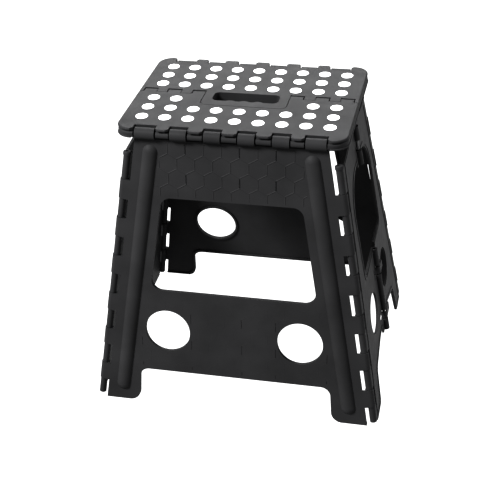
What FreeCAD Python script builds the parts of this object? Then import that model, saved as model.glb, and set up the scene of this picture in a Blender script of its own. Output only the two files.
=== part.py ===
"""Folding step stool: two top halves, two leg panels and four side halves, joined by hinge pins.

Millimetres. +Z is up, +X is to the right of a person facing the front leg panel, and the front
is -Y. The origin is the middle of the footprint, on the floor.
"""
import FreeCAD, Part
import math
import os

from FreeCAD import Matrix, Placement, Vector

# Overall size
HEIGHT = 390.0               # floor to the standing surface
TOP_HALF_WIDTH = 142.0       # middle to the side of the top
TOP_REACH = 107.0            # middle to the front edge of the top
TOP_CORNER_RADIUS = 19.0
TOP_SKIRT_DEPTH = 12.5
TOP_PLATE_EDGE = 2.6         # thickness of the plate at its rim, above the groove
TOP_EDGE_ROUND = 1.6
GROOVE_HEIGHT = 2.0
GROOVE_DEPTH = 2.2
SKIRT_ROUND = 2.4
SKIRT_WALL = 4.4
TRAY_ROUND = 5.0
WALL = 3.0                   # moulded wall thickness

# Leg panels: where the outer face and the hinge notches stand at the floor and at full height
LEG_REACH_FOOT = 154.5
LEG_REACH_HIGH = 97.4
LEG_HALF_WIDTH_FOOT = 178.7
LEG_HALF_WIDTH_HIGH = 116.9
LEG_TOP = 373.8
LEG_WINDOW = (169.0, 298.0)  # heights of the large window
LEG_WINDOW_MARGIN = 42.3     # notch line to the window's side, along X
LEG_WINDOW_ROUND = 14.5
LEG_HOLE_X = 88.0
LEG_HOLE_Z = 111.0
HOLE_RADIUS = 30.0
CROSSBAR_BOTTOM = 50.7
CROSSBAR_ROUND = 13.0
FOOT_INNER_X = 131.5
FOOT_ROUND = 15.0
FOOT_BELOW_FLOOR = 12.0      # rough plate, before it is cut off at the floor
RIM_WIDTH = 3.0
RIM_DEPTH = 2.0
BEAD_WIDTH = 19.0
BEAD_HEIGHT = 4.6
BEAD_INSET = 21.5            # notch line to the bead's middle
BEAD_SPAN = (24.0, 357.0)

# Pins
PIN_RADIUS = 2.0
RUNNING_GAP = 0.08
PIN_INSET = 1.0              # pin's end inside the last knuckle
KNUCKLE_GAP = 0.4            # between neighbouring knuckles, along the pin

# Corner hinges, between a leg panel and a side half
CORNER_TAB = 5.5             # radius of the leg's tabs, which wrap round the hinge
CORNER_BARREL = 4.6          # radius of the side's barrels
CORNER_CAP = 5.4             # domed end of the top barrel
CORNER_CAP_LENGTH = 4.0
CORNER_OFFSET = 8.5          # notch line to the hinge axis
LEG_TABS = ((27.0, 52.0), (81.5, 105.5), (133.5, 158.0), (187.0, 213.0), (240.0, 266.0), (292.0, 318.0))
SIDE_BARRELS = ((4.0, 27.0), (52.0, 81.5), (105.5, 133.5), (158.0, 187.0), (213.0, 240.0),
                (266.0, 292.0), (318.0, 350.0))

# Side halves
SIDE_EDGE_OFFSET = 8.0       # hinge axis to the panel's edge between barrels
SIDE_TOP_CORNER = 352.0
SIDE_TOP_MIDDLE = 358.0
SIDE_WINDOW = (177.0, 311.0)
SIDE_WINDOW_REACH = 73.0
SIDE_WINDOW_ARCH = 50.0
SIDE_HOLE_Y = 55.5
SIDE_HOLE_Z = 111.0
SIDE_HOLE_RADIUS = 28.0
SIDE_BOTTOM = 62.0
SIDE_WINDOW_ROUND = 12.0
SIDE_TOP_ROUND = 4.0
SIDE_TOE = ((-104.0, 0.0, 8.0), (-92.0, 47.0, 12.0), (-40.0, 60.0, 30.0))  # along Y, height, radius
SIDE_RIDGE_INSET = (2.0, 5.0)
SIDE_RIDGE_HEIGHT = 0.7

# Middle hinge of each side: an open pivot, so its loose fingers are hooks with room around the pin
MID_LIFT = 1.4               # panel's outer face to the hinge axis
MID_BARREL = 4.8
MID_LOW_KNUCKLES = ((46.0, 63.5), (78.5, 136.0), (151.0, 176.0))
MID_LOW_HOOKS = ((66.0, 76.0), (138.5, 148.5))
MID_HIGH_KNUCKLES = ((304.0, 323.5), (338.5, 357.0))
MID_HIGH_TONGUES = ((326.0, 336.0),)
MID_FINGER_GAP = 2.3         # between neighbouring fingers, along the pin
MID_PIN_ROOM = 3.0           # axis to the inside of a hook
MID_CLEARANCE = 1.3
MID_TRAVEL_FLOOR = 16.4      # how far the loose fingers slide past the pin, at the floor
MID_TRAVEL_SLOPE = -0.05     # and how that falls with height
HOOK_ROOT = 4.0
HIGH_SLOT = 8.5
WEB_REACH = 12.0
TONGUE_EXTRA = 3.0

# Edge hinges, between a top half and a leg panel
EDGE_AXIS_Y = 100.0
EDGE_AXIS_Z = 381.0
EDGE_BARREL = 7.5
EDGE_LIP = 4.3               # radius of the top's rod-like lip between the knuckles
EDGE_LIP_Y = 102.3
EDGE_LOBE_Y = 106.5          # front of the top's lobes, at the standing surface
EDGE_LOBE_ROUND = 1.6
EDGE_LOBE_CHAMFER = 3.5
EDGE_WALL_BOTTOM = 368.6
EDGE_KNUCKLES = ((-105.0, 25.0), (-63.0, 20.5), (-21.0, 20.5), (21.0, 20.5), (63.0, 20.5), (105.0, 25.0))
EDGE_GAP = 1.6
EDGE_NOTCH_Y = 94.8
EDGE_ROOM = 0.7              # knuckle to the top's wall behind it
EDGE_WALL = 3.0
EDGE_PIN_HALF = 121.0

# Middle hinge of the top
FOLD_AXIS_Z = 368.2
FOLD_BARREL = 6.0
SEAM_Y = -1.0
SEAM_GAP = 0.7
FINGER_REACH = 6.4
FINGER_END_GAP = 3.4
FINGER_SIDE_GAP = 1.6
FINGERS = ((55.0, 71.3), (87.2, 103.7), (119.0, 135.0))
FRONT_LUGS = ((58.0, 70.5), (88.5, 102.5), (120.0, 127.0))
REAR_LUGS = ((73.0, 86.0), (105.0, 117.5))

# Handle
HANDLE_HALF_WIDTH = 54.5
HANDLE_FRONT_Y = -30.0
HANDLE_CORNER = 9.0
HANDLE_GAP = 0.8
GRIP_SLOT_HALF = 42.5
GRIP_SLOT_Y = (-16.8, 7.1)
GRIP_SLOT_ROUND = 7.0
SCALLOPS = 4
SCALLOP_RADIUS = 9.5
SCALLOP_RISE = 2.2

# Grip dots
DOT_RADIUS = 7.6
DOT_PITCH_X = 29.2
DOT_COLUMNS = 9
DOT_ROWS_REAR = (77.1, 50.3, 23.5)
DOT_ROWS_FRONT = (-45.8, -72.6)
DOT_ROW_BESIDE_HANDLE = -19.0
DOT_COLUMNS_BESIDE_HANDLE = (0, 1, 7, 8)
DOT_POCKET = 1.0
DOT_PROUD = 0.4
DOT_GAP = 0.05

# Ribs under the top
RIB_WIDTH = 2.0
RIB_BOTTOM = 378.0
RIB_X = (30.0, 95.0)

UNDERSIDE = HEIGHT - WALL
GROOVE_TOP = HEIGHT - TOP_PLATE_EDGE
GROOVE_BOTTOM = GROOVE_TOP - GROOVE_HEIGHT
EDGE_WALL_Y = -EDGE_AXIS_Y + EDGE_BARREL + EDGE_ROOM
SKIRT_BOTTOM = HEIGHT - TOP_SKIRT_DEPTH
LEG_TILT = math.atan((LEG_REACH_FOOT - LEG_REACH_HIGH) / HEIGHT)
X_AXIS = Vector(1, 0, 0)
Y_AXIS = Vector(0, 1, 0)
Z_AXIS = Vector(0, 0, 1)
FAR = 500.0


def frame(origin, x_axis, y_axis):
    """Placement of a local frame from its origin and two of its axes."""
    z_axis = x_axis.cross(y_axis)
    return Placement(Matrix(x_axis.x, y_axis.x, z_axis.x, origin.x,
                            x_axis.y, y_axis.y, z_axis.y, origin.y,
                            x_axis.z, y_axis.z, z_axis.z, origin.z,
                            0, 0, 0, 1))


def placed(shape, placement):
    """A copy of the shape, moved from a local frame to the frame that holds it."""
    return shape.transformed(placement.toMatrix())


def box(x_span, y_span, z_span):
    """Box between two limits on each axis."""
    corner = Vector(min(x_span), min(y_span), min(z_span))
    return Part.makeBox(abs(x_span[1] - x_span[0]), abs(y_span[1] - y_span[0]),
                        abs(z_span[1] - z_span[0]), corner)


def rod(radius, start, end):
    """Cylinder between two points."""
    return Part.makeCylinder(radius, (end - start).Length, start, end - start)


def outline(corners):
    """Closed wire in the XY plane through (x, y, radius) corners, each rounded by its radius."""
    count = len(corners)
    joins = []
    for index in range(count):
        here = Vector(corners[index][0], corners[index][1], 0)
        before = Vector(corners[index - 1][0], corners[index - 1][1], 0) - here
        after = Vector(corners[(index + 1) % count][0], corners[(index + 1) % count][1], 0) - here
        before.normalize()
        after.normalize()
        radius = corners[index][2]
        if radius == 0:
            joins.append((here, here, here))
            continue
        half_turn = before.getAngle(after) / 2
        back = radius / math.tan(half_turn)
        bisector = (before + after).normalize()
        centre = here + bisector * (radius / math.sin(half_turn))
        joins.append((here + before * back, centre - bisector * radius, here + after * back))
    edges = []
    for index in range(count):
        start, middle, end = joins[index]
        if (end - start).Length > 1e-6:
            edges.append(Part.Arc(start, middle, end).toShape())
        following = joins[(index + 1) % count][0]
        if (following - end).Length > 1e-6:
            edges.append(Part.LineSegment(end, following).toShape())
    return Part.Wire(edges)


def slab(corners, low, high):
    """Flat plate of a rounded outline between two levels."""
    face = Part.Face(outline(corners))
    face.translate(Vector(0, 0, low))
    return face.extrude(Vector(0, 0, high - low))


def rounded_box(x_half, y_span, radius, low, high):
    """Upright prism with four rounded corners, centred on X = 0."""
    near, far = y_span
    corners = ((-x_half, near, radius), (x_half, near, radius), (x_half, far, radius), (-x_half, far, radius))
    return slab(corners, low, high)


def fuse(shapes):
    """One clean solid from overlapping solids."""
    return shapes[0].multiFuse(shapes[1:]).removeSplitter()


def bar(span, x_span, y_span):
    """Box along a hinge axis, in a frame whose Z axis is the hinge axis."""
    return box(x_span, y_span, span)


def along_axis(radius, span):
    """Cylinder on a hinge axis, in a frame whose Z axis is the hinge axis."""
    return Part.makeCylinder(radius, span[1] - span[0], Vector(0, 0, span[0]))


def mirror_x(shape):
    """Mirror image across the YZ plane, from right to left."""
    return shape.mirror(Vector(), X_AXIS)


def mirror_y(shape):
    """Mirror image across the XZ plane, from front to rear."""
    return shape.mirror(Vector(), Y_AXIS)


def both_sides(shape):
    """The shape and its mirror image on the left."""
    return [shape, mirror_x(shape)]


# Local frames -------------------------------------------------------------------------------------
# Leg frame: X across, Y up the panel, Z out of its outer face. It holds the front leg panel.
LEG_UP = Vector(0, math.sin(LEG_TILT), math.cos(LEG_TILT))
LEG_FRAME = frame(Vector(0, -LEG_REACH_FOOT, 0), X_AXIS, LEG_UP)


def up_leg(height):
    """Distance up the leg panel's face at a height."""
    return height / math.cos(LEG_TILT)


NOTCH_FOOT = Vector(LEG_HALF_WIDTH_FOOT, 0, 0)
NOTCH_LINE = (Vector(LEG_HALF_WIDTH_HIGH, up_leg(HEIGHT), 0) - NOTCH_FOOT).normalize()
NOTCH_OUT = Vector(NOTCH_LINE.y, -NOTCH_LINE.x, 0)


def notch_x(height, inset=0.0):
    """X of the leg panel's notch line at a height, moved in by an inset."""
    slope = (LEG_HALF_WIDTH_FOOT - LEG_HALF_WIDTH_HIGH) / HEIGHT
    return LEG_HALF_WIDTH_FOOT - slope * height - inset


# Corner frame, on the front right corner hinge: Z along the axis. As the leg sees it, X points
# out of the notch; as the side sees it, X points along the side. Y points into the stool.
CORNER_FOOT = LEG_FRAME.multVec(NOTCH_FOOT + NOTCH_OUT * CORNER_OFFSET - Z_AXIS * CORNER_TAB)
CORNER_LINE = LEG_FRAME.Rotation.multVec(NOTCH_LINE)
LEG_CORNER = frame(CORNER_FOOT, LEG_FRAME.Rotation.multVec(NOTCH_OUT),
                   CORNER_LINE.cross(LEG_FRAME.Rotation.multVec(NOTCH_OUT)))
SIDE_OUT = CORNER_LINE.cross(Vector(CORNER_LINE.x, -CORNER_LINE.y, CORNER_LINE.z)).normalize()
SIDE_OUT = SIDE_OUT * math.copysign(1.0, SIDE_OUT.x)
SIDE_CORNER = frame(CORNER_FOOT, CORNER_LINE.cross(SIDE_OUT), -SIDE_OUT)

# Side frame: X to the rear, Y up the panel, Z out of its outer face, on the middle of the right side.
SIDE_UP = Vector(-SIDE_OUT.z, 0, SIDE_OUT.x)
SIDE_FOOT_X = (CORNER_FOOT + SIDE_OUT * CORNER_BARREL).dot(SIDE_OUT) / SIDE_OUT.x
SIDE_FRAME = frame(Vector(SIDE_FOOT_X, 0, 0), Y_AXIS, SIDE_UP)
MID_FRAME = frame(Vector(SIDE_FOOT_X, 0, 0) + SIDE_OUT * MID_LIFT, Y_AXIS, -SIDE_OUT)


def up_side(height):
    """Distance up the side half's face at a height."""
    return height / SIDE_OUT.x


def corner_span(span, gap=0.0):
    """Heights turned into distances along the corner hinge, pulled in by a gap at each end."""
    low, high = span
    return ((low - CORNER_FOOT.z) / CORNER_LINE.z + gap, (high - CORNER_FOOT.z) / CORNER_LINE.z - gap)


def mid_span(span, margin=0.0):
    """Heights turned into distances along the side's middle hinge, widened by a margin."""
    low, high = span
    return (low / SIDE_UP.z - margin, high / SIDE_UP.z + margin)


def knuckle(span, root, radius):
    """Hinge knuckle with its web, tangent to the barrel, reaching X = root, in a hinge frame."""
    web = bar(span, (0, root), (-radius, -radius + WALL))
    return fuse([along_axis(radius, span), web])


def above_floor(shape):
    """The part of a shape that stands above the floor."""
    return shape.common(box((-FAR, FAR), (-FAR, FAR), (0, FAR)))


# Leg panels ---------------------------------------------------------------------------------------
def leg_bead():
    """Raised half-round bead beside the notches, in the leg frame."""
    radius = (BEAD_WIDTH ** 2 / 4 + BEAD_HEIGHT ** 2) / (2 * BEAD_HEIGHT)
    foot = Vector(notch_x(BEAD_SPAN[0], BEAD_INSET), up_leg(BEAD_SPAN[0]), BEAD_HEIGHT - radius)
    head = Vector(notch_x(BEAD_SPAN[1], BEAD_INSET), up_leg(BEAD_SPAN[1]), BEAD_HEIGHT - radius)
    bead = fuse([rod(radius, foot, head), Part.makeSphere(radius, head), Part.makeSphere(radius, foot)])
    return bead.common(box((-FAR, FAR), (-FAR, FAR), (-1, FAR)))


def leg_window(grow, low, high):
    """Prism of the leg's window, enlarged by a margin, in the leg frame."""
    bottom, top = LEG_WINDOW
    bottom_x = notch_x(bottom, LEG_WINDOW_MARGIN) + grow
    top_x = notch_x(top, LEG_WINDOW_MARGIN) + grow
    bottom_y = up_leg(bottom) - grow
    top_y = up_leg(top) + grow
    radius = LEG_WINDOW_ROUND + grow
    corners = ((-bottom_x, bottom_y, radius), (bottom_x, bottom_y, radius),
               (top_x, top_y, radius), (-top_x, top_y, radius))
    return slab(corners, low, high)


def leg_holes(radius, low, high):
    """The two round holes of the leg panel, in the leg frame."""
    return [Part.makeCylinder(radius, high - low, Vector(side * LEG_HOLE_X, up_leg(LEG_HOLE_Z), low))
            for side in (-1, 1)]


def leg_arch(grow, low, high):
    """The space between the feet, under the crossbar, in the leg frame."""
    half = FOOT_INNER_X + grow
    far = half + 3 * FOOT_ROUND
    top = up_leg(CROSSBAR_BOTTOM) + grow
    right = ((far, -FOOT_ROUND, 0), (far, grow, 0), (half, grow, FOOT_ROUND), (half - 3, top, CROSSBAR_ROUND))
    left = [(-x, y, radius) for x, y, radius in reversed(right)]
    return slab(list(right) + left, low, high)


def leg_panel():
    """Front leg panel with its window, feet, beads and hinge knuckles."""
    foot = -FOOT_BELOW_FLOOR
    plate_corners = ((-notch_x(foot), foot, 0), (notch_x(foot), foot, 0),
                     (notch_x(LEG_TOP), up_leg(LEG_TOP), 0), (-notch_x(LEG_TOP), up_leg(LEG_TOP), 0))
    plate = slab(plate_corners, -WALL, 0)
    back = -WALL - RIM_DEPTH
    rims = [leg_window(RIM_WIDTH, back, -WALL), leg_arch(RIM_WIDTH, back, -WALL)]
    rims[1] = rims[1].common(slab(plate_corners, back, -WALL))
    rims += leg_holes(HOLE_RADIUS + RIM_WIDTH, back, -WALL)
    panel = fuse([plate] + rims + both_sides(leg_bead()))
    cuts = [leg_window(0, -FAR, FAR), leg_arch(0, -FAR, FAR)] + leg_holes(HOLE_RADIUS, -FAR, FAR)
    panel = placed(panel.cut(Part.makeCompound(cuts)), LEG_FRAME)

    tabs = []
    for span in LEG_TABS:
        tab = placed(knuckle(corner_span(span, KNUCKLE_GAP / 2), -CORNER_OFFSET - 2, CORNER_TAB), LEG_CORNER)
        tabs += both_sides(tab)
    for middle, width in EDGE_KNUCKLES:
        tabs += edge_knuckle(middle, width)
    bore = placed(along_axis(PIN_RADIUS + RUNNING_GAP, (-FAR, FAR)), LEG_CORNER)
    bores = both_sides(bore) + [edge_rod(PIN_RADIUS + RUNNING_GAP, FAR)]
    return above_floor(fuse([panel] + tabs).cut(Part.makeCompound(bores)))


def edge_rod(radius, half):
    """Cylinder on the front edge hinge."""
    return rod(radius, Vector(-half, -EDGE_AXIS_Y, EDGE_AXIS_Z), Vector(half, -EDGE_AXIS_Y, EDGE_AXIS_Z))


def edge_knuckle(middle, width):
    """Knuckle on the leg panel's top edge, with the neck that carries it."""
    barrel = edge_rod(EDGE_BARREL, width / 2)
    barrel.translate(Vector(middle, 0, 0))
    neck = placed(box((middle - width / 2, middle + width / 2), (up_leg(LEG_TOP) - 3, up_leg(EDGE_AXIS_Z)),
                      (-WALL, 0)), LEG_FRAME)
    return [barrel, neck]


# Side halves --------------------------------------------------------------------------------------
def corner_edge_x(height, offset):
    """X in the side frame of a line beside the corner hinge, at a height."""
    foot = SIDE_FRAME.inverse().multVec(CORNER_FOOT)
    line = SIDE_FRAME.Rotation.inverted().multVec(CORNER_LINE)
    return foot.x + (up_side(height) - foot.y) * line.x / line.y + offset / line.y


def side_plate(margin=0.0, low=-WALL, high=0.0):
    """Flat plate of the front half of the right side, in the side frame."""
    bottom, top = SIDE_WINDOW
    window_y = -SIDE_WINDOW_REACH - margin
    hinge_edge = SIDE_EDGE_OFFSET + margin
    corners = [(corner_edge_x(0, hinge_edge), up_side(0) + margin, 0)]
    corners += [(y - margin, up_side(height) + margin, radius) for y, height, radius in SIDE_TOE]
    corners += [(0, up_side(SIDE_BOTTOM) + margin, 0),
                (0, up_side(bottom) - margin, 0),
                (window_y, up_side(bottom) - margin, SIDE_WINDOW_ROUND),
                (window_y, up_side(top) + margin, SIDE_WINDOW_ARCH),
                (0, up_side(top) + margin, 0),
                (0, up_side(SIDE_TOP_MIDDLE) - margin, 0),
                (corner_edge_x(SIDE_TOP_CORNER, hinge_edge), up_side(SIDE_TOP_CORNER) - margin, SIDE_TOP_ROUND)]
    return slab(corners, low, high)


def mid_knuckle(span):
    """Closed knuckle of the side's middle hinge, with its web to the panel, in the middle frame."""
    web = bar(mid_span(span), (-WEB_REACH, 0), (MID_LIFT, MID_LIFT + WALL))
    return fuse([along_axis(MID_BARREL, mid_span(span)), web])


def mid_hook(span):
    """Hook that reaches over the pin from outside, open towards its own panel and the inside."""
    length = mid_span(span)
    reach = hook_reach(span)
    room = bar(length, (-FAR, MID_PIN_ROOM), (-MID_PIN_ROOM, FAR))
    over = along_axis(MID_BARREL, length).cut(room)
    arm = bar(length, (-reach - HOOK_ROOT, 0), (-MID_BARREL, -MID_PIN_ROOM))
    root = bar(length, (-reach - HOOK_ROOT, -reach), (-MID_BARREL, MID_LIFT + WALL))
    return fuse([over, arm, root])


def mid_tongue(span):
    """Tongue that passes behind the pin, in the middle frame."""
    return bar(mid_span(span), (-HIGH_SLOT - TONGUE_EXTRA, MID_BARREL), (MID_PIN_ROOM, MID_LIFT + WALL + 1))


def barrel_cap():
    """Domed end of the top barrel, in a hinge frame."""
    end = corner_span(SIDE_BARRELS[-1])[1]
    cap = along_axis(CORNER_CAP, (end - 1, end + CORNER_CAP_LENGTH))
    return cap.makeFillet(CORNER_CAP / 3, [edge for edge in cap.Edges if edge.BoundBox.ZMin > end])


def slide(height):
    """How far the loose fingers slide past the middle pin while the stool folds, at a height."""
    return MID_TRAVEL_FLOOR + MID_TRAVEL_SLOPE * height


def hook_reach(span):
    """Middle hinge axis to the root of a hook."""
    return slide(span[0]) + PIN_RADIUS + MID_CLEARANCE


def side_half(knuckled):
    """Front half of the right side. The knuckled half carries the middle pins, the other hooks them."""
    near, far = SIDE_RIDGE_INSET
    ridge = side_plate(near, 0, SIDE_RIDGE_HEIGHT).cut(side_plate(far, -1, SIDE_RIDGE_HEIGHT + 1))
    panel = fuse([side_plate(), ridge])
    hole = Part.makeCylinder(SIDE_HOLE_RADIUS, 4 * WALL, Vector(-SIDE_HOLE_Y, up_side(SIDE_HOLE_Z), -2 * WALL))
    panel = placed(panel.cut(hole), SIDE_FRAME)
    if knuckled:
        slots = [(span, hook_reach(span) + HOOK_ROOT + MID_CLEARANCE) for span in MID_LOW_HOOKS]
        slots += [(span, HIGH_SLOT) for span in MID_HIGH_TONGUES]
    else:
        slots = [(span, slide(span[0]) + MID_BARREL + MID_CLEARANCE) for span in MID_LOW_KNUCKLES]
        slots += [(span, hook_reach(span)) for span in MID_LOW_HOOKS]
        slots += [(span, HIGH_SLOT) for span in MID_HIGH_KNUCKLES + MID_HIGH_TONGUES]
    cuts = [bar(mid_span(span, MID_FINGER_GAP), (-depth, 1), (-20, 20)) for span, depth in slots]
    panel = panel.cut(placed(Part.makeCompound(cuts), MID_FRAME))
    if knuckled:
        fingers = [mid_knuckle(span) for span in MID_LOW_KNUCKLES + MID_HIGH_KNUCKLES]
    else:
        fingers = [mid_hook(span) for span in MID_LOW_HOOKS]
        fingers += [mid_tongue(span) for span in MID_HIGH_TONGUES]
    barrels = [knuckle(corner_span(span, KNUCKLE_GAP / 2), SIDE_EDGE_OFFSET + 2, CORNER_BARREL)
               for span in SIDE_BARRELS] + [barrel_cap()]
    half = fuse([panel] + [placed(finger, MID_FRAME) for finger in fingers]
                + [placed(barrel, SIDE_CORNER) for barrel in barrels])
    bores = [placed(along_axis(PIN_RADIUS + RUNNING_GAP, (-FAR, FAR)), SIDE_CORNER)]
    if knuckled:
        bores.append(placed(along_axis(PIN_RADIUS + RUNNING_GAP, (-FAR, FAR)), MID_FRAME))
    return above_floor(half.cut(Part.makeCompound(bores)))


# Top halves ---------------------------------------------------------------------------------------
def top_outline(inset, low, high):
    """Prism of the front half's outline, running on past the seam, moved in by an inset."""
    side = TOP_HALF_WIDTH - inset
    front = -TOP_REACH + inset
    radius = TOP_CORNER_RADIUS - inset
    return slab(((-side, 40, 0), (-side, front, radius), (side, front, radius), (side, 40, 0)), low, high)


def rounded_rims(body, radius, levels):
    """The front half's outline with its outer edges rounded at the given levels."""
    rims = [edge for edge in body.Edges if edge.BoundBox.YMin < 30 and edge.BoundBox.ZLength < 0.01
            and min(abs(edge.BoundBox.ZMin - level) for level in levels) < 0.01]
    return body.makeFillet(radius, rims)


def top_shell():
    """Front half of the top as a shallow tray with a grooved rim, before its seam and hinge parts."""
    plate = rounded_rims(top_outline(0, GROOVE_TOP, HEIGHT), TOP_EDGE_ROUND, [HEIGHT])
    neck = top_outline(GROOVE_DEPTH, GROOVE_BOTTOM - 1, GROOVE_TOP + 1)
    skirt = top_outline(0, SKIRT_BOTTOM, GROOVE_BOTTOM)
    skirt = rounded_rims(skirt, SKIRT_ROUND, [SKIRT_BOTTOM, GROOVE_BOTTOM])
    side = TOP_HALF_WIDTH - SKIRT_WALL
    front = EDGE_WALL_Y + EDGE_WALL
    inside = ((-side, 60, 0), (-side, front, TRAY_ROUND), (side, front, TRAY_ROUND), (side, 60, 0))
    return fuse([plate, neck, skirt]).cut(slab(inside, SKIRT_BOTTOM - 1, UNDERSIDE))


def across_prism(section, half):
    """Prism along X of a (y, z, radius) outline, centred on X = 0."""
    return placed(slab(section, 0, 2 * half), frame(Vector(-half, 0, 0), Y_AXIS, Z_AXIS))


def edge_lobes(shell):
    """The tray with its front edge cut into lobes that carry the pin between the leg's knuckles."""
    reach = EDGE_KNUCKLES[-1][0] + EDGE_KNUCKLES[-1][1] / 2 + EDGE_GAP
    wall = EDGE_WALL_Y
    inner = wall + EDGE_WALL
    plate = across_prism(((-EDGE_LOBE_Y, GROOVE_TOP, 0), (-EDGE_LOBE_Y, HEIGHT, EDGE_LOBE_ROUND),
                          (inner, HEIGHT, 0), (inner, GROOVE_TOP, 0)), reach)
    neck_y = -EDGE_AXIS_Y - PIN_RADIUS
    neck = across_prism(((neck_y, EDGE_AXIS_Z, 0), (neck_y, GROOVE_TOP + 1, 0), (wall + 1, GROOVE_TOP + 1, 0),
                         (wall + 1, EDGE_AXIS_Z, 0)), reach)
    behind = across_prism(((wall, EDGE_WALL_BOTTOM, 0), (wall, HEIGHT - 1, 0), (inner, HEIGHT - 1, 0),
                           (inner, EDGE_WALL_BOTTOM, 0)), reach)
    lip = rod(EDGE_LIP, Vector(-reach, -EDGE_LIP_Y, EDGE_AXIS_Z), Vector(reach, -EDGE_LIP_Y, EDGE_AXIS_Z))
    shell = shell.cut(box((-reach, reach), (-FAR, wall), (0, FAR)))
    lobed = fuse([shell, plate, neck, behind, lip])
    notches = []
    for middle, width in EDGE_KNUCKLES:
        half = width / 2 + EDGE_GAP
        wide = half + EDGE_LOBE_CHAMFER
        chamfer_y = -EDGE_LOBE_Y + EDGE_LOBE_CHAMFER
        left = ((middle - half, -EDGE_NOTCH_Y, 0), (middle - half, chamfer_y, 0),
                (middle - wide, -EDGE_LOBE_Y, 0), (middle - wide, -FAR, 0))
        notch = left + tuple((2 * middle - x, y, radius) for x, y, radius in reversed(left))
        notches.append(slab(notch, GROOVE_BOTTOM, FAR))
        notches.append(box((middle - half, middle + half), (-FAR, -EDGE_NOTCH_Y), (0, FAR)))
        notches.append(box((middle - half, middle + half), (-FAR, wall), (0, UNDERSIDE)))
    return lobed.cut(Part.makeCompound(notches))


def fold_rod(radius, low, high):
    """Cylinder on the middle hinge of the top, between two distances along X."""
    return rod(radius, Vector(low, 0, FOLD_AXIS_Z), Vector(high, 0, FOLD_AXIS_Z))


def lugs(spans, y_span):
    """Lugs on both sides of the middle, each a barrel with a web up to the top."""
    found = []
    for low, high in spans:
        web = box((low, high), y_span, (FOLD_AXIS_Z, UNDERSIDE + 1))
        found += both_sides(fuse([fold_rod(FOLD_BARREL, low, high), web]))
    return found


def fold_bore():
    """Bore for the two fold pins."""
    return fold_rod(PIN_RADIUS + RUNNING_GAP, -FAR, FAR)


def ribs(y_span):
    """Stiffening ribs under the top."""
    found = []
    for x in RIB_X:
        found += both_sides(box((x - RIB_WIDTH / 2, x + RIB_WIDTH / 2), y_span, (RIB_BOTTOM, UNDERSIDE + 1)))
    return found


def seam_fingers(grow_side, grow_end):
    """Fingers of the front half that cross the seam, as blocks on both sides."""
    found = []
    for low, high in FINGERS:
        finger = box((low - min(grow_side, SEAM_GAP), high + grow_side), (SEAM_Y - 2, FINGER_REACH + grow_end),
                     (SKIRT_BOTTOM - 1, HEIGHT + 1))
        found += both_sides(finger)
    return found


def dot_places(rows, beside_handle):
    """Centres of the grip dots on one half of the top."""
    places = [((column - DOT_COLUMNS // 2) * DOT_PITCH_X, row) for row in rows for column in range(DOT_COLUMNS)]
    if beside_handle:
        places += [((column - DOT_COLUMNS // 2) * DOT_PITCH_X, DOT_ROW_BESIDE_HANDLE)
                   for column in DOT_COLUMNS_BESIDE_HANDLE]
    return places


def discs(places, low, high, grow=0.0):
    """Upright discs at the given centres."""
    return Part.makeCompound([Part.makeCylinder(DOT_RADIUS + grow, high - low, Vector(x, y, low))
                              for x, y in places])


FRONT_DOTS = dot_places(DOT_ROWS_FRONT, True)
REAR_DOTS = dot_places(DOT_ROWS_REAR, False)


def handle_tab(grow, low, high):
    """Prism of the handle, which is part of the rear half and lies in a recess of the front half."""
    return rounded_box(HANDLE_HALF_WIDTH + grow, (HANDLE_FRONT_Y - grow, 25), HANDLE_CORNER + grow, low, high)


def top_front_half():
    """Front half of the top, with the recess for the handle."""
    shell = edge_lobes(top_shell())
    shell = shell.cut(box((-FAR, FAR), (SEAM_Y - SEAM_GAP / 2, FAR), (0, FAR)))
    top_layer = box((-FAR, FAR), (-FAR, FAR), (UNDERSIDE, HEIGHT))
    plates = [finger.common(top_layer) for finger in seam_fingers(0, 0)]
    recess_wall = handle_tab(HANDLE_GAP + WALL, SKIRT_BOTTOM, HEIGHT - 1)
    recess_wall = recess_wall.common(box((-FAR, FAR), (-FAR, SEAM_Y - SEAM_GAP / 2), (0, FAR)))
    half = fuse([shell, recess_wall] + plates + ribs((EDGE_WALL_Y, HANDLE_FRONT_Y - HANDLE_GAP - WALL))
                + lugs(FRONT_LUGS, (-FOLD_BARREL, FOLD_BARREL)))
    recess = handle_tab(HANDLE_GAP, 0, FAR)
    half = half.cut(recess.common(box((-FAR, FAR), (-FAR, 5), (0, FAR))))
    half = half.cut(fold_bore()).cut(edge_rod(PIN_RADIUS + RUNNING_GAP, EDGE_PIN_HALF + PIN_INSET))
    return half.cut(discs(FRONT_DOTS, HEIGHT - DOT_POCKET, HEIGHT + 1))


def grip_slot(grow, low, high):
    """Prism of the hand slot, with scallops for the fingers on its front edge."""
    slot = rounded_box(GRIP_SLOT_HALF + grow, (GRIP_SLOT_Y[0] - grow, GRIP_SLOT_Y[1] + grow),
                       GRIP_SLOT_ROUND + grow, low, high)
    if grow:
        return slot
    pitch = 2 * (GRIP_SLOT_HALF - GRIP_SLOT_ROUND) / SCALLOPS
    humps = []
    for index in range(1, SCALLOPS):
        x = -GRIP_SLOT_HALF + GRIP_SLOT_ROUND + index * pitch
        humps.append(Part.makeCylinder(SCALLOP_RADIUS, high - low,
                                       Vector(x, GRIP_SLOT_Y[0] - SCALLOP_RADIUS + SCALLOP_RISE, low)))
    return slot.cut(Part.makeCompound(humps))


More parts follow.
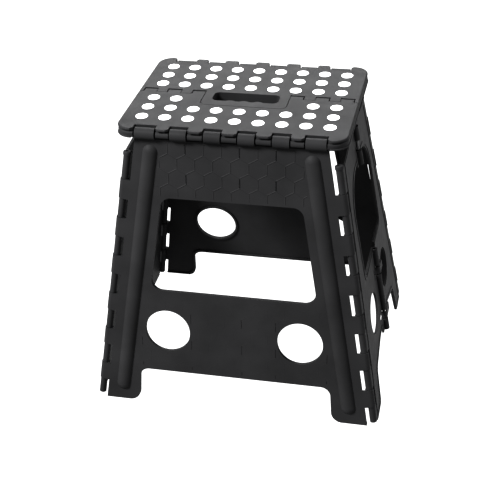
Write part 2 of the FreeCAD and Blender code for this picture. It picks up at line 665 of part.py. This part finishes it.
def top_rear_half():
    """Rear half of the top, with the carrying handle."""
    shell = mirror_y(edge_lobes(top_shell()))
    shell = shell.cut(box((-FAR, FAR), (-FAR, SEAM_Y + SEAM_GAP / 2), (0, FAR)))
    shell = shell.cut(Part.makeCompound(seam_fingers(FINGER_SIDE_GAP, FINGER_END_GAP)))
    tab = handle_tab(0, SKIRT_BOTTOM, HEIGHT).cut(handle_tab(-WALL, SKIRT_BOTTOM - 1, UNDERSIDE))
    tab = tab.common(box((-FAR, FAR), (-FAR, 8), (0, FAR)))
    rim = grip_slot(WALL, SKIRT_BOTTOM, HEIGHT - 1)
    half = fuse([shell, tab, rim] + ribs((25, -EDGE_WALL_Y)) + lugs(REAR_LUGS, (0, FOLD_BARREL)))
    half = half.cut(grip_slot(0, 0, FAR))
    half = half.cut(fold_bore()).cut(mirror_y(edge_rod(PIN_RADIUS + RUNNING_GAP, EDGE_PIN_HALF + PIN_INSET)))
    return half.cut(discs(REAR_DOTS, HEIGHT - DOT_POCKET, HEIGHT + 1))


# Pins ---------------------------------------------------------------------------------------------
def corner_pin():
    """Pin of the front right corner hinge."""
    span = (SIDE_BARRELS[0][0] + PIN_INSET, SIDE_BARRELS[-1][1] - PIN_INSET)
    return placed(along_axis(PIN_RADIUS, corner_span(span)), LEG_CORNER)


def mid_pins():
    """Two pins of the right side's middle hinge."""
    pins = []
    for knuckles in (MID_LOW_KNUCKLES, MID_HIGH_KNUCKLES):
        span = (knuckles[0][0] + PIN_INSET, knuckles[-1][1] - PIN_INSET)
        pins.append(placed(along_axis(PIN_RADIUS, mid_span(span)), MID_FRAME))
    return Part.makeCompound(pins)


def fold_pin():
    """Right pin of the top's middle hinge."""
    return fold_rod(PIN_RADIUS, FRONT_LUGS[0][0] + PIN_INSET, FRONT_LUGS[-1][1] - PIN_INSET)


def build():
    """Every node by name."""
    leg = leg_panel()
    front_side = side_half(True)
    rear_side = mirror_y(side_half(False))
    edge_pin = edge_rod(PIN_RADIUS, EDGE_PIN_HALF)
    nodes = {
        "front_leg_panel": leg,
        "rear_leg_panel": mirror_y(leg),
        "top_front_half": top_front_half(),
        "top_rear_half": top_rear_half(),
        "right_front_side": front_side,
        "left_front_side": mirror_x(front_side),
        "right_rear_side": rear_side,
        "left_rear_side": mirror_x(rear_side),
        "front_edge_pin": edge_pin,
        "rear_edge_pin": mirror_y(edge_pin),
        "right_fold_pin": fold_pin(),
        "left_fold_pin": mirror_x(fold_pin()),
        "right_front_corner_pin": corner_pin(),
        "left_front_corner_pin": mirror_x(corner_pin()),
        "right_rear_corner_pin": mirror_y(corner_pin()),
        "left_rear_corner_pin": mirror_x(mirror_y(corner_pin())),
        "right_side_pins": mid_pins(),
        "left_side_pins": mirror_x(mid_pins()),
        "front_grip_dots": discs(FRONT_DOTS, HEIGHT - DOT_POCKET, HEIGHT + DOT_PROUD, -DOT_GAP),
        "rear_grip_dots": discs(REAR_DOTS, HEIGHT - DOT_POCKET, HEIGHT + DOT_PROUD, -DOT_GAP),
    }
    return nodes


os.makedirs("parts", exist_ok=True)
for name, shape in build().items():
    shape.exportStep(os.path.join("parts", name + ".step"))
    print(name, "solids", len(shape.Solids), "valid", shape.isValid(), "volume", round(shape.Volume),
          "box", [round(value, 1) for value in (shape.BoundBox.XMin, shape.BoundBox.XMax, shape.BoundBox.YMin,
                                                shape.BoundBox.YMax, shape.BoundBox.ZMin, shape.BoundBox.ZMax)])
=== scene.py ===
"""Folding step stool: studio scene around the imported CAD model."""
import math

import bpy
from mathutils import Matrix, Vector


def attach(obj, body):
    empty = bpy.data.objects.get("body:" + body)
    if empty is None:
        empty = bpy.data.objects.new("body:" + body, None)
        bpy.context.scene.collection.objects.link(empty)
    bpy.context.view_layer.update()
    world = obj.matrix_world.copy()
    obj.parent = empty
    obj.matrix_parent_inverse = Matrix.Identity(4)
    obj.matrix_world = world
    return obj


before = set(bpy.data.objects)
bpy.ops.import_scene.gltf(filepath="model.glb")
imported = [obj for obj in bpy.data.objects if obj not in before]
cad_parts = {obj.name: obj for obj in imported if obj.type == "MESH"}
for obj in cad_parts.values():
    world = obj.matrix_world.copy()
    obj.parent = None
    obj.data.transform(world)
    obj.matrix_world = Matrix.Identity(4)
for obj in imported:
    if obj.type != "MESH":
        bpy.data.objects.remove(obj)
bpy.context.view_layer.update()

# Camera: distances in metres, angles in degrees
CAMERA_TARGET = Vector((0.0, 0.0, 0.157835))
CAMERA_AZIMUTH = 13.474
CAMERA_ELEVATION = 33.176
CAMERA_ROLL = -2.584
CAMERA_DISTANCE = 1.50981
CAMERA_SIDE_STEP = -0.00502
CAMERA_LENS = 78.83            # millimetres, as is the sensor's width
CAMERA_SENSOR = 36

# Floor and lights. A light is its name, place, target, size and power.
FLOOR_SIZE = 60.0
FLOOR_TONE = 0.03
FLOOR_GLOW = 0.95
FLOOR_ROUGHNESS = 0.9
WORLD_GLOW = 0.6
LIGHTS = (("key", (-1.6, -1.3, 2.2), (0, 0, 0.2), 0.8, 240),
          ("sheen", (-0.43, 1.79, 1.59), (0, 0, 0.35), 1.2, 60),
          ("rim", (2.2, 0.6, 1.6), (0, 0, 0.25), 0.8, 60))

# Moulded plastic. Noise scales are in object coordinates, and a spread reaches both ways from the middle.
MOTTLING_SCALE = 22.0
MOTTLING_DETAIL = 4.0
MOTTLING_SPREAD = 0.3
SCUFF_SCALE = 60.0
SCUFF_DETAIL = 6.0
GLOSS_SPREAD = 0.08
GRAIN_DETAIL = 2.0
GRAIN_DEPTH = 0.0002

# Blackened wire of the hinge pins
STEEL_DARK = (0.03, 0.03, 0.031)
STEEL_LIGHT = (0.07, 0.07, 0.072)
STEEL_ROUGHNESS = (0.25, 0.42)
STREAK_SCALE = 900.0
STREAK_DETAIL = 3.0

# Sockets of the Mix node when it mixes colours
MIX_FACTOR = 0
MIX_DARK = 6
MIX_LIGHT = 7
MIX_RESULT = 2

# Softened edges of the CAD nodes
WELD_DISTANCE = 0.00001
EDGE_ROUND = 0.0006
EDGE_SEGMENTS = 2
SHARP_ANGLE = 40

# Leg panel, in metres: how far its outer face stands from the middle at the floor and at full height
HEIGHT = 0.390
LEG_REACH_FOOT = 0.1545
LEG_REACH_HIGH = 0.0974
LEG_TILT = math.atan((LEG_REACH_FOOT - LEG_REACH_HIGH) / HEIGHT)
LEG_ACROSS = Vector((1, 0, 0))
LEG_UP = Vector((0, math.sin(LEG_TILT), math.cos(LEG_TILT)))
LEG_OUT = Vector((0, -math.cos(LEG_TILT), math.sin(LEG_TILT)))

# Hexagon relief moulded into the leg panels. Distances up the panel's face.
HEX_PITCH = 0.0225
HEX_SIZE = HEX_PITCH / math.sqrt(3)
HEX_ROW_CENTRE = 0.3473
HEX_ROWS = range(-16, 3)
HEX_COLUMNS = range(-7, 8)
HEX_RIDGE_HALF = 0.0011
HEX_SINK = 0.0002
HEX_KEYS = 5000                # two edges whose ends add up to the same whole key are one edge
CLIP_STEPS = 24
CLIP_LEAST = 3                 # an edge with this many points inside, or fewer, is left out
FIELD_RISE = 0.0004
FIELD_SPAN = (0.3045, 0.3745)
CROSSBAR_RISE = 0.0001
CROSSBAR_SPAN = (0.0565, 0.1665)
CROSSBAR_MARGIN = 0.004
HOLE_ACROSS = 0.088
HOLE_UP = 0.1122
HOLE_CLEAR = 0.0335
BEAD_EDGE_FOOT = 0.1440        # middle to a bead's inner edge, at the foot of the panel
BEAD_EDGE_SLOPE = 0.1545       # and how that falls with distance up the panel

# Lip round the lower edge of the top
LIP_Z = 0.3786
LIP_RADIUS = 0.0011
LIP_RINGS = 12
LIP_CORNER_STEPS = 12
TOP_HALF_WIDTH = 0.142
TOP_REACH = 0.107
TOP_CORNER_RADIUS = 0.019
LIP_END_X = 0.1215
SEAM_Y = -0.001
SEAM_GAP = 0.0007


def noise_texture(nodes, links, scale, detail, vector):
    """Noise texture in object coordinates."""
    noise = nodes.new("ShaderNodeTexNoise")
    noise.inputs["Scale"].default_value = scale
    noise.inputs["Detail"].default_value = detail
    links.new(vector, noise.inputs["Vector"])
    return noise


def tint(nodes, links, factor, dark, light, socket):
    """Feeds a socket with a colour between two, by a factor."""
    mix = nodes.new("ShaderNodeMix")
    mix.data_type = "RGBA"
    mix.inputs[MIX_DARK].default_value = (*dark, 1)
    mix.inputs[MIX_LIGHT].default_value = (*light, 1)
    links.new(factor, mix.inputs[MIX_FACTOR])
    links.new(mix.outputs[MIX_RESULT], socket)


def vary(nodes, links, factor, low, high, socket):
    """Feeds a socket with a value between two, by a factor."""
    spread = nodes.new("ShaderNodeMapRange")
    spread.inputs["To Min"].default_value = low
    spread.inputs["To Max"].default_value = high
    links.new(factor, spread.inputs["Value"])
    links.new(spread.outputs["Result"], socket)


def plastic(name, colour, roughness, shine, grain_scale, grain_strength):
    """Moulded plastic with a fine grain, faint mottling and uneven gloss."""
    material = bpy.data.materials.new(name)
    material.use_nodes = True
    nodes = material.node_tree.nodes
    links = material.node_tree.links
    shader = nodes["Principled BSDF"]
    shader.inputs["Specular IOR Level"].default_value = shine
    coordinates = nodes.new("ShaderNodeTexCoord").outputs["Object"]

    mottling = noise_texture(nodes, links, MOTTLING_SCALE, MOTTLING_DETAIL, coordinates)
    dark = [channel * (1 - MOTTLING_SPREAD) for channel in colour]
    light = [channel * (1 + MOTTLING_SPREAD) for channel in colour]
    tint(nodes, links, mottling.outputs["Fac"], dark, light, shader.inputs["Base Color"])

    scuffs = noise_texture(nodes, links, SCUFF_SCALE, SCUFF_DETAIL, coordinates)
    vary(nodes, links, scuffs.outputs["Fac"], roughness - GLOSS_SPREAD, roughness + GLOSS_SPREAD,
         shader.inputs["Roughness"])

    grain = noise_texture(nodes, links, grain_scale, GRAIN_DETAIL, coordinates)
    bump = nodes.new("ShaderNodeBump")
    bump.inputs["Strength"].default_value = grain_strength
    bump.inputs["Distance"].default_value = GRAIN_DEPTH
    links.new(grain.outputs["Fac"], bump.inputs["Height"])
    links.new(bump.outputs["Normal"], shader.inputs["Normal"])
    return material


def drawn_steel(name):
    """Blackened drawn wire for the hinge pins, with fine streaks."""
    material = bpy.data.materials.new(name)
    material.use_nodes = True
    nodes = material.node_tree.nodes
    links = material.node_tree.links
    shader = nodes["Principled BSDF"]
    shader.inputs["Metallic"].default_value = 1.0
    coordinates = nodes.new("ShaderNodeTexCoord").outputs["Object"]
    streaks = noise_texture(nodes, links, STREAK_SCALE, STREAK_DETAIL, coordinates)
    tint(nodes, links, streaks.outputs["Fac"], STEEL_DARK, STEEL_LIGHT, shader.inputs["Base Color"])
    vary(nodes, links, streaks.outputs["Fac"], *STEEL_ROUGHNESS, shader.inputs["Roughness"])
    return material


def assign(node, material):
    """Gives a CAD node its material."""
    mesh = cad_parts[node].data
    mesh.materials.clear()
    mesh.materials.append(material)


def soften(node):
    """Rounds a CAD node's sharp edges with modifiers, and shades its curves smoothly."""
    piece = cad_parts[node]
    weld = piece.modifiers.new("weld", "WELD")
    weld.merge_threshold = WELD_DISTANCE
    bevel = piece.modifiers.new("bevel", "BEVEL")
    bevel.width = EDGE_ROUND
    bevel.segments = EDGE_SEGMENTS
    bevel.limit_method = "ANGLE"
    bevel.angle_limit = math.radians(SHARP_ANGLE)
    normals = piece.modifiers.new("normals", "WEIGHTED_NORMAL")
    normals.keep_sharp = True


def new_piece(name, vertices, faces, material, body):
    """A mesh piece that moves with a CAD body."""
    mesh = bpy.data.meshes.new(name)
    mesh.from_pydata(vertices, [], faces)
    mesh.update()
    mesh.materials.append(material)
    piece = bpy.data.objects.new(name, mesh)
    bpy.context.scene.collection.objects.link(piece)
    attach(piece, body)
    return piece


def on_leg(across, up, out, side):
    """Row-frame point of a place on a leg panel's face. side is 1 for the front and -1 for the rear."""
    point = Vector((0, -LEG_REACH_FOOT, 0)) + LEG_ACROSS * across + LEG_UP * up + LEG_OUT * out
    return Vector((point.x * side, point.y * side, point.z))


def leg_bead_edge(up):
    """Half the width of the leg panel's flat field at a distance up its face, between the two beads."""
    return BEAD_EDGE_FOOT - up * BEAD_EDGE_SLOPE


def in_field(across, up):
    """True inside the upper band of the leg panel."""
    return FIELD_SPAN[0] < up < FIELD_SPAN[1] and abs(across) < leg_bead_edge(up)


def in_crossbar(across, up):
    """True inside the crossbar of the leg panel, clear of its two round holes."""
    if not CROSSBAR_SPAN[0] < up < CROSSBAR_SPAN[1]:
        return False
    if abs(across) > leg_bead_edge(up) - CROSSBAR_MARGIN:
        return False
    return math.hypot(abs(across) - HOLE_ACROSS, up - HOLE_UP) > HOLE_CLEAR


def hexagon_edges():
    """Every edge of the hexagon grid that covers the leg panel, as pairs of (across, up) points."""
    edges = {}
    row_pitch = 1.5 * HEX_SIZE
    for row in HEX_ROWS:
        for column in HEX_COLUMNS:
            centre_x = (column + 0.5 * ((row + 1) % 2)) * HEX_PITCH
            centre_y = HEX_ROW_CENTRE + row * row_pitch
            corners = [(centre_x + HEX_SIZE * math.sin(math.radians(60 * k)),
                        centre_y + HEX_SIZE * math.cos(math.radians(60 * k))) for k in range(6)]
            for k in range(6):
                start, end = corners[k], corners[(k + 1) % 6]
                key = (round((start[0] + end[0]) * HEX_KEYS),
                       round((start[1] + end[1]) * HEX_KEYS))
                edges.setdefault(key, (start, end))
    return list(edges.values())


def clip_edge(start, end, inside):
    """An edge cut down to its first and last points inside a region, or None if little is inside."""
    points = [(start[0] + (end[0] - start[0]) * step / CLIP_STEPS,
               start[1] + (end[1] - start[1]) * step / CLIP_STEPS) for step in range(CLIP_STEPS + 1)]
    kept = [point for point in points if inside(*point)]
    return (kept[0], kept[-1]) if len(kept) > CLIP_LEAST else None


def hexagon_relief(side, inside, rise, name, body):
    """Low three-sided ridges along the hexagon grid of one leg panel."""
    vertices = []
    faces = []
    for start, end in hexagon_edges():
        run = clip_edge(start, end, inside)
        if run is None:
            continue
        (x0, y0), (x1, y1) = run
        length = math.hypot(x1 - x0, y1 - y0)
        along = ((x1 - x0) / length, (y1 - y0) / length)
        base = len(vertices)
        for x, y in ((x0, y0), (x1, y1)):
            for offset, out in ((-HEX_RIDGE_HALF, -HEX_SINK), (HEX_RIDGE_HALF, -HEX_SINK), (0, rise)):
                vertices.append(on_leg(x - along[1] * offset, y + along[0] * offset, out, side))
        faces += [(base, base + 1, base + 2), (base + 5, base + 4, base + 3),
                  (base, base + 3, base + 4, base + 1), (base + 1, base + 4, base + 5, base + 2),
                  (base + 2, base + 5, base + 3, base)]
    return new_piece(name, vertices, faces, BLACK, body)


def tube(path, radius, rings):
    """Vertices and faces of a closed tube along a level path."""
    vertices = []
    faces = []
    count = len(path)
    for index, point in enumerate(path):
        before = path[max(index - 1, 0)]
        after = path[min(index + 1, count - 1)]
        forward = (after - before).normalized()
        aside = Vector((forward.y, -forward.x, 0))
        for ring in range(rings):
            turn = 2 * math.pi * ring / rings
            rise = Vector((0, 0, radius * math.sin(turn)))
            vertices.append(point + aside * (radius * math.cos(turn)) + rise)
    for index in range(count - 1):
        for ring in range(rings):
            a = index * rings + ring
            b = index * rings + (ring + 1) % rings
            faces.append((a, a + rings, b + rings, b))
    faces.append(tuple(range(rings)))
    faces.append(tuple(reversed(range((count - 1) * rings, count * rings))))
    return vertices, faces


def lip_path(side_x, side_y):
    """Path of the lip on one quarter of the top: from the seam, round the corner, to the hinge."""
    seam = side_y * SEAM_Y + SEAM_GAP
    path = [Vector((TOP_HALF_WIDTH, seam, LIP_Z))]
    for step in range(LIP_CORNER_STEPS + 1):
        turn = math.radians(90) * step / LIP_CORNER_STEPS
        path.append(Vector((TOP_HALF_WIDTH - TOP_CORNER_RADIUS + TOP_CORNER_RADIUS * math.cos(turn),
                            TOP_REACH - TOP_CORNER_RADIUS + TOP_CORNER_RADIUS * math.sin(turn), LIP_Z)))
    path.append(Vector((LIP_END_X, TOP_REACH, LIP_Z)))
    return [Vector((p.x * side_x, p.y * side_y, p.z)) for p in path]


def make_lips():
    """Lips round the lower edge of both top halves."""
    for end, side_y in (("front", -1), ("rear", 1)):
        for side, side_x in (("right", 1), ("left", -1)):
            vertices, faces = tube(lip_path(side_x, side_y), LIP_RADIUS, LIP_RINGS)
            lip = new_piece(f"{end}_{side}_lip", vertices, faces, BLACK, end + "_top")
            lip.data.shade_smooth()


def make_camera():
    """Camera at the viewing angle of the picture."""
    azimuth = math.radians(CAMERA_AZIMUTH)
    elevation = math.radians(CAMERA_ELEVATION)
    roll = math.radians(CAMERA_ROLL)
    back = Vector((math.sin(azimuth) * math.cos(elevation), -math.cos(azimuth) * math.cos(elevation),
                   math.sin(elevation)))
    right = (-back).cross(Vector((0, 0, 1))).normalized()
    up = right.cross(-back)
    rolled_right = right * math.cos(roll) + up * math.sin(roll)
    rolled_up = up * math.cos(roll) - right * math.sin(roll)
    place = CAMERA_TARGET + back * CAMERA_DISTANCE + right * CAMERA_SIDE_STEP
    data = bpy.data.cameras.new("camera")
    data.lens = CAMERA_LENS
    data.sensor_width = CAMERA_SENSOR
    camera = bpy.data.objects.new("camera", data)
    bpy.context.scene.collection.objects.link(camera)
    turn = Matrix((rolled_right, rolled_up, back)).transposed()
    camera.matrix_world = Matrix.Translation(place) @ turn.to_4x4()
    bpy.context.scene.camera = camera


def make_floor():
    """Plain white floor that glows like a light table, so that shadows hardly show on it."""
    mesh = bpy.data.meshes.new("floor")
    half = FLOOR_SIZE / 2
    corners = [(-half, -half, 0), (half, -half, 0), (half, half, 0), (-half, half, 0)]
    mesh.from_pydata(corners, [], [(0, 1, 2, 3)])
    floor = bpy.data.objects.new("floor", mesh)
    bpy.context.scene.collection.objects.link(floor)
    material = bpy.data.materials.new("floor_paper")
    material.use_nodes = True
    shader = material.node_tree.nodes["Principled BSDF"]
    shader.inputs["Base Color"].default_value = (FLOOR_TONE, FLOOR_TONE, FLOOR_TONE, 1)
    shader.inputs["Roughness"].default_value = FLOOR_ROUGHNESS
    shader.inputs["Specular IOR Level"].default_value = 0.0
    shader.inputs["Emission Color"].default_value = (1, 1, 1, 1)
    shader.inputs["Emission Strength"].default_value = FLOOR_GLOW
    mesh.materials.append(material)


def area_light(name, place, target, size, power):
    """Soft square light aimed at a point."""
    data = bpy.data.lights.new(name, "AREA")
    data.size = size
    data.energy = power
    light = bpy.data.objects.new(name, data)
    light.location = place
    light.rotation_euler = (Vector(target) - Vector(place)).to_track_quat("-Z", "Y").to_euler()
    bpy.context.scene.collection.objects.link(light)


def make_light():
    """White surroundings and soft studio lights, shown with the contrast of a studio picture."""
    world = bpy.data.worlds.new("studio")
    world.use_nodes = True
    world.node_tree.nodes["Background"].inputs["Color"].default_value = (1, 1, 1, 1)
    world.node_tree.nodes["Background"].inputs["Strength"].default_value = WORLD_GLOW
    bpy.context.scene.world = world
    for light in LIGHTS:
        area_light(*light)
    bpy.context.scene.view_settings.view_transform = "Standard"
    bpy.context.scene.view_settings.look = "High Contrast"


BLACK = plastic("black_plastic", (0.0185, 0.0185, 0.019), roughness=0.5, shine=0.025,
                grain_scale=900.0, grain_strength=0.35)
WHITE = plastic("white_grip", (0.66, 0.66, 0.66), roughness=0.6, shine=0.2,
                grain_scale=1800.0, grain_strength=0.3)
STEEL = drawn_steel("pin_steel")
for node_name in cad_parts:
    if "pin" in node_name:
        assign(node_name, STEEL)
    elif "dots" in node_name:
        assign(node_name, WHITE)
    else:
        assign(node_name, BLACK)
        soften(node_name)

for end, side in (("front", 1), ("rear", -1)):
    hexagon_relief(side, in_field, FIELD_RISE, end + "_hexagon_relief", end + "_leg")
    hexagon_relief(side, in_crossbar, CROSSBAR_RISE, end + "_crossbar_relief", end + "_leg")
make_lips()

make_camera()
make_floor()
make_light()
